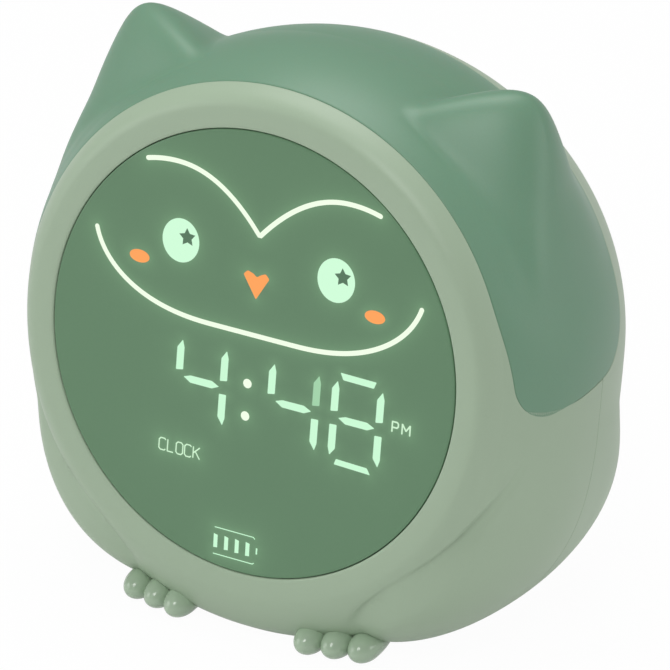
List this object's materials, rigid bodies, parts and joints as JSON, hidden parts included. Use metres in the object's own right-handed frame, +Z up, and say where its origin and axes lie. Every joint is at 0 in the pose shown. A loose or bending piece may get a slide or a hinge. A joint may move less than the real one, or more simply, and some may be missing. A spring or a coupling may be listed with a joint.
{
  "type": "alarm clock",
  "caption": "Owl-shaped children's alarm clock with a round lit display, a glowing night-light hood with ears, wings, toed feet and push keys behind.",
  "frame": {"origin": "centre of the bounding box at table level, under the soles of the feet", "axes": "+X to the viewer's right, -Y towards the viewer, +Z up; the face leans back by 8.2 degrees"},
  "size_m": [0.1209, 0.0842, 0.1151],
  "materials": {
    "shell_sage": "satin",
    "hood_teal": "satin, translucent",
    "lens_green": "matte",
    "film_white": "matte",
    "white_plastic": "matte",
    "led_white": "gloss",
    "board_green": "satin",
    "screw_steel": "plain",
    "chip_black": "matte",
    "foam_black": "matte",
    "cell_silver": "satin foil",
    "socket_steel": "satin",
    "speaker_black": "matte",
    "foot_sage": "gloss",
    "key_sage": "satin"
  },
  "bodies": {
    "root": {"front_shell": "shell_sage", "night_light_hood": "hood_teal", "rear_shell": "shell_sage", "display_lens": "lens_green", "display_film": "film_white", "light_box": "white_plastic", "display_leds": "led_white", "main_board": "board_green", "board_screws": "screw_steel", "controller_chip": "chip_black", "cell_tape": "foam_black", "battery_cell": "cell_silver", "light_reflector": "white_plastic", "light_strip": "film_white", "hood_leds": "led_white", "rear_board": "board_green", "rear_board_screws": "screw_steel", "tact_switches": "chip_black", "charging_socket": "socket_steel", "speaker_gasket": "foam_black", "speaker": "speaker_black", "housing_screws": "screw_steel", "left_foot": "foot_sage", "right_foot": "foot_sage"},
    "key_upper_left": {"key_upper_left": "key_sage"},
    "key_upper_middle": {"key_upper_middle": "key_sage"},
    "key_upper_right": {"key_upper_right": "key_sage"},
    "key_lower_left": {"key_lower_left": "key_sage"},
    "key_lower_middle": {"key_lower_middle": "key_sage"},
    "key_lower_right": {"key_lower_right": "key_sage"}
  },
  "joints": [
    {"name": "key_upper_left_press", "type": "slide", "parent": "root", "child": "key_upper_left", "axis": [0, -0.9898, 0.1426], "range_m": [0, 0.0008], "stiffness_N_per_m": 2000, "springref_m": -0.0002},
    {"name": "key_upper_middle_press", "type": "slide", "parent": "root", "child": "key_upper_middle", "axis": [0, -0.9898, 0.1426], "range_m": [0, 0.0008], "stiffness_N_per_m": 2000, "springref_m": -0.0002},
    {"name": "key_upper_right_press", "type": "slide", "parent": "root", "child": "key_upper_right", "axis": [0, -0.9898, 0.1426], "range_m": [0, 0.0008], "stiffness_N_per_m": 2000, "springref_m": -0.0002},
    {"name": "key_lower_left_press", "type": "slide", "parent": "root", "child": "key_lower_left", "axis": [0, -0.9898, 0.1426], "range_m": [0, 0.0008], "stiffness_N_per_m": 2000, "springref_m": -0.0002},
    {"name": "key_lower_middle_press", "type": "slide", "parent": "root", "child": "key_lower_middle", "axis": [0, -0.9898, 0.1426], "range_m": [0, 0.0008], "stiffness_N_per_m": 2000, "springref_m": -0.0002},
    {"name": "key_lower_right_press", "type": "slide", "parent": "root", "child": "key_lower_right", "axis": [0, -0.9898, 0.1426], "range_m": [0, 0.0008], "stiffness_N_per_m": 2000, "springref_m": -0.0002}
  ]
}
